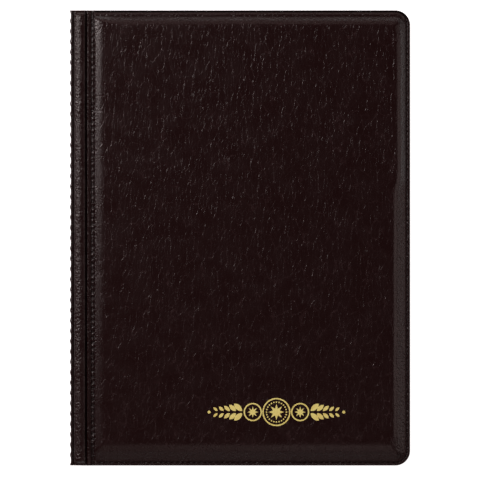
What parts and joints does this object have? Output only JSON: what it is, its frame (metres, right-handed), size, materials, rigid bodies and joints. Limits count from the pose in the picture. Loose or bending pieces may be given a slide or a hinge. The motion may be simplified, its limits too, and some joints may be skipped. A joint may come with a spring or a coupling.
{
  "type": "coin album",
  "caption": "Pocket coin album with padded leather-grain covers, a folding ribbed spine, clear pocket leaves and a gold foil emblem.",
  "frame": {"origin": "middle of the underside of the closed album, on the surface that it lies on", "axes": "+X from the spine to the fore-edge, +Y from the tail to the head, +Z from the back cover to the front cover"},
  "size_m": [0.1383, 0.185, 0.0174],
  "materials": {
    "cover_pvc": "satin",
    "lining_pvc": "matte",
    "greyboard": "matte",
    "foam": "matte",
    "gold_foil": "polished",
    "leaf_film": "gloss",
    "pocket_film": "gloss"
  },
  "bodies": {
    "rear_cover": {"rear_skin": "cover_pvc", "rear_foam_pad": "foam", "rear_board": "greyboard", "rear_lining": "lining_pvc"},
    "rear_strip": {"rear_strip_skin": "cover_pvc", "rear_strip_filler": "foam", "rear_strip_lining": "lining_pvc"},
    "spine": {"spine_skin": "cover_pvc", "spine_board": "greyboard", "spine_lining": "lining_pvc", "binding_strip": "lining_pvc"},
    "front_strip": {"front_strip_skin": "cover_pvc", "front_strip_filler": "foam", "front_strip_lining": "lining_pvc"},
    "front_cover": {"front_skin": "cover_pvc", "front_foam_pad": "foam", "front_board": "greyboard", "front_lining": "lining_pvc", "foil_emblem": "gold_foil"},
    "leaf_01": {"leaf_01_film": "leaf_film", "leaf_01_pockets": "pocket_film"},
    "leaf_02": {"leaf_02_film": "leaf_film", "leaf_02_pockets": "pocket_film"},
    "leaf_03": {"leaf_03_film": "leaf_film", "leaf_03_pockets": "pocket_film"},
    "leaf_04": {"leaf_04_film": "leaf_film", "leaf_04_pockets": "pocket_film"},
    "leaf_05": {"leaf_05_film": "leaf_film", "leaf_05_pockets": "pocket_film"},
    "leaf_06": {"leaf_06_film": "leaf_film", "leaf_06_pockets": "pocket_film"},
    "leaf_07": {"leaf_07_film": "leaf_film", "leaf_07_pockets": "pocket_film"},
    "leaf_08": {"leaf_08_film": "leaf_film", "leaf_08_pockets": "pocket_film"},
    "leaf_09": {"leaf_09_film": "leaf_film", "leaf_09_pockets": "pocket_film"},
    "leaf_10": {"leaf_10_film": "leaf_film", "leaf_10_pockets": "pocket_film"}
  },
  "joints": [
    {"name": "rear_groove_fold", "type": "hinge", "parent": "rear_cover", "child": "rear_strip", "pos_m": [-0.06005, 0, 0.00315], "axis": [0, -1, 0], "range_deg": [0, 80]},
    {"name": "spine_fold", "type": "hinge", "parent": "rear_strip", "child": "spine", "pos_m": [-0.0682, 0, 0.00315], "axis": [0, -1, 0], "range_deg": [0, 90]},
    {"name": "front_edge_fold", "type": "hinge", "parent": "spine", "child": "front_strip", "pos_m": [-0.0682, 0, 0.01425], "axis": [0, -1, 0], "range_deg": [0, 90]},
    {"name": "front_groove_fold", "type": "hinge", "parent": "front_strip", "child": "front_cover", "pos_m": [-0.06005, 0, 0.01425], "axis": [0, -1, 0], "range_deg": [0, 80]},
    {"name": "leaf_01_turn", "type": "hinge", "parent": "spine", "child": "leaf_01", "pos_m": [-0.0662, 0, 0.01307], "axis": [0, -1, 0], "range_deg": [0, 55]},
    {"name": "leaf_02_turn", "type": "hinge", "parent": "spine", "child": "leaf_02", "pos_m": [-0.0662, 0, 0.01208], "axis": [0, -1, 0], "range_deg": [0, 43]},
    {"name": "leaf_03_turn", "type": "hinge", "parent": "spine", "child": "leaf_03", "pos_m": [-0.0662, 0, 0.01107], "axis": [0, -1, 0], "range_deg": [0, 31]},
    {"name": "leaf_04_turn", "type": "hinge", "parent": "spine", "child": "leaf_04", "pos_m": [-0.0662, 0, 0.01008], "axis": [0, -1, 0], "range_deg": [0, 19]},
    {"name": "leaf_05_turn", "type": "hinge", "parent": "spine", "child": "leaf_05", "pos_m": [-0.0662, 0, 0.00907], "axis": [0, -1, 0], "range_deg": [0, 7]},
    {"name": "leaf_06_turn", "type": "hinge", "parent": "spine", "child": "leaf_06", "pos_m": [-0.0662, 0, 0.00808], "axis": [0, -1, 0], "range_deg": [-7, 0]},
    {"name": "leaf_07_turn", "type": "hinge", "parent": "spine", "child": "leaf_07", "pos_m": [-0.0662, 0, 0.00707], "axis": [0, -1, 0], "range_deg": [-19, 0]},
    {"name": "leaf_08_turn", "type": "hinge", "parent": "spine", "child": "leaf_08", "pos_m": [-0.0662, 0, 0.00607], "axis": [0, -1, 0], "range_deg": [-31, 0]},
    {"name": "leaf_09_turn", "type": "hinge", "parent": "spine", "child": "leaf_09", "pos_m": [-0.0662, 0, 0.00507], "axis": [0, -1, 0], "range_deg": [-43, 0]},
    {"name": "leaf_10_turn", "type": "hinge", "parent": "spine", "child": "leaf_10", "pos_m": [-0.0662, 0, 0.00407], "axis": [0, -1, 0], "range_deg": [-55, 0]}
  ],
  "couplings": [
    {"joint": "front_edge_fold", "follows": "spine_fold", "ratio": 1},
    {"joint": "leaf_01_turn", "follows": "spine_fold", "ratio": 0.6},
    {"joint": "leaf_02_turn", "follows": "spine_fold", "ratio": 0.46667},
    {"joint": "leaf_03_turn", "follows": "spine_fold", "ratio": 0.33333},
    {"joint": "leaf_04_turn", "follows": "spine_fold", "ratio": 0.2},
    {"joint": "leaf_05_turn", "follows": "spine_fold", "ratio": 0.066667},
    {"joint": "leaf_06_turn", "follows": "spine_fold", "ratio": -0.066667},
    {"joint": "leaf_07_turn", "follows": "spine_fold", "ratio": -0.2},
    {"joint": "leaf_08_turn", "follows": "spine_fold", "ratio": -0.33333},
    {"joint": "leaf_09_turn", "follows": "spine_fold", "ratio": -0.46667},
    {"joint": "leaf_10_turn", "follows": "spine_fold", "ratio": -0.6}
  ]
}
